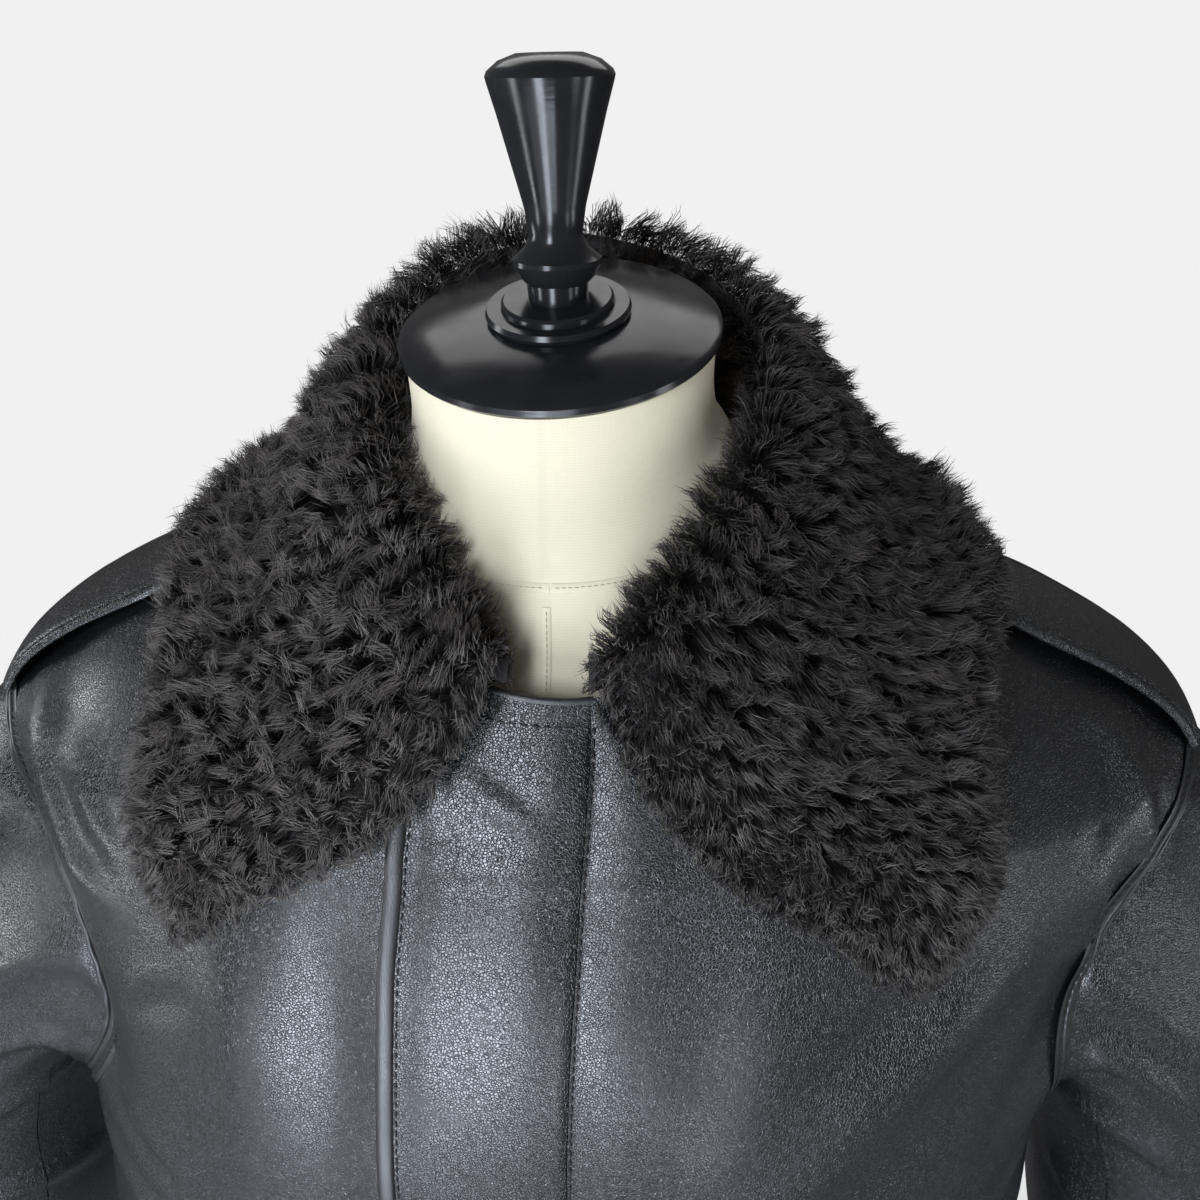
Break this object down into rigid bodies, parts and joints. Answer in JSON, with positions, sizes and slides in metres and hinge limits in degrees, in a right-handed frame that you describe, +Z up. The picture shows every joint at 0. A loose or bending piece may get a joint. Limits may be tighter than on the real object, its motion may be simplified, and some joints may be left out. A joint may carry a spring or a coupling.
{
  "type": "leather bomber jacket on a dress form",
  "caption": "Leather flight jacket with a wide shearling collar, shoulder straps and a storm placket, hollow and worn on a limbless dress form with a turned finial and a round foot.",
  "frame": {"origin": "centre of the underside of the form's round foot", "axes": "+Z up along the form; the jacket's front faces -Y; the wearer's left is +X"},
  "size_m": [0.7562, 0.3123, 0.8933],
  "materials": {
    "leather": "black grained leather with a soft sheen",
    "shearling": "dark brown-black sheepskin pile in loose locks",
    "rib_knit": "black ribbed wool knit, matt",
    "canvas": "cream woven cotton stretched over the form",
    "black_wood": "turned wood, black satin lacquer"
  },
  "bodies": {
    "root": {"front_left": "leather", "front_right": "leather", "back": "leather", "placket": "leather", "sleeve_left_top": "leather", "sleeve_left_under": "leather", "sleeve_right_top": "leather", "sleeve_right_under": "leather", "epaulette_left": "leather", "epaulette_right": "leather", "collar": "shearling", "waistband": "rib_knit", "cuff_left": "rib_knit", "cuff_right": "rib_knit", "form_torso": "canvas", "neck_cap": "black_wood", "cap_rings": "black_wood", "finial": "black_wood", "foot": "black_wood"}
  },
  "joints": []
}
